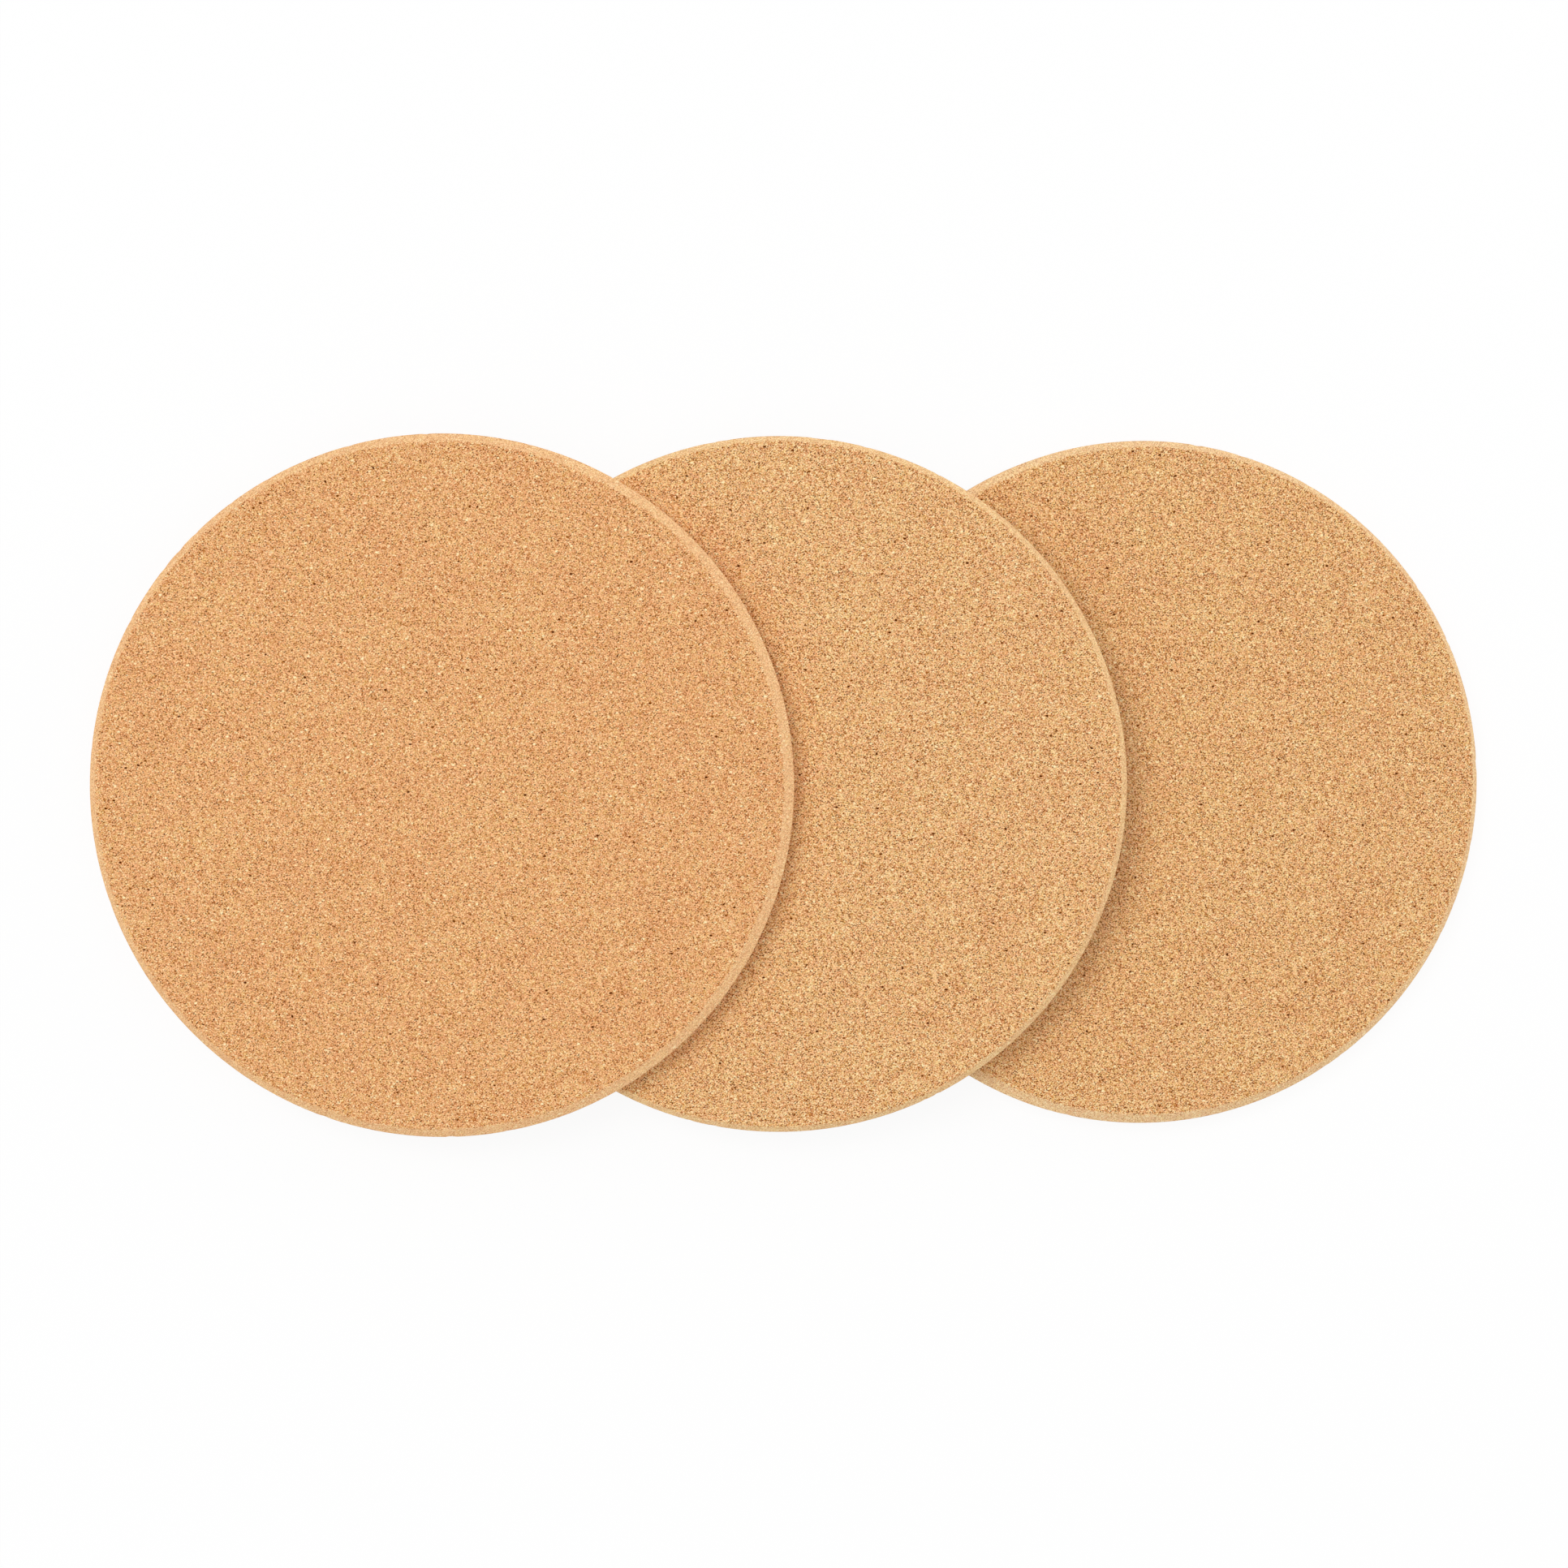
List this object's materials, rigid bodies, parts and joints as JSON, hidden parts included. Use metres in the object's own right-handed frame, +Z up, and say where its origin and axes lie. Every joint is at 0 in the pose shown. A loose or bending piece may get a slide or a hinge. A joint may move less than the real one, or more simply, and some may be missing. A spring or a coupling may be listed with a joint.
{
  "type": "cork trivet set",
  "caption": "Round flat cork trivets with bevelled rims, fanned out in a leaning row on a table; each lifts off the next to go under a hot pot or dish.",
  "frame": {"origin": "middle of the row's box, on the table that the row lies on", "axes": "+X along the row towards the trivet that lies flat, +Y across the row, +Z up"},
  "size_m": [0.3844, 0.19, 0.0296],
  "materials": {
    "lower_cork": "matte",
    "middle_cork": "matte",
    "upper_cork": "matte"
  },
  "bodies": {
    "lower": {"lower_trivet": "lower_cork"},
    "middle": {"middle_trivet": "middle_cork"},
    "upper": {"upper_trivet": "upper_cork"}
  },
  "joints": [
    {"name": "middle_lift", "type": "slide", "parent": "lower", "child": "middle", "axis": [0, 0, 1], "range_m": [0, 0.08]},
    {"name": "upper_lift", "type": "slide", "parent": "middle", "child": "upper", "axis": [0, 0, 1], "range_m": [0, 0.08]}
  ]
}
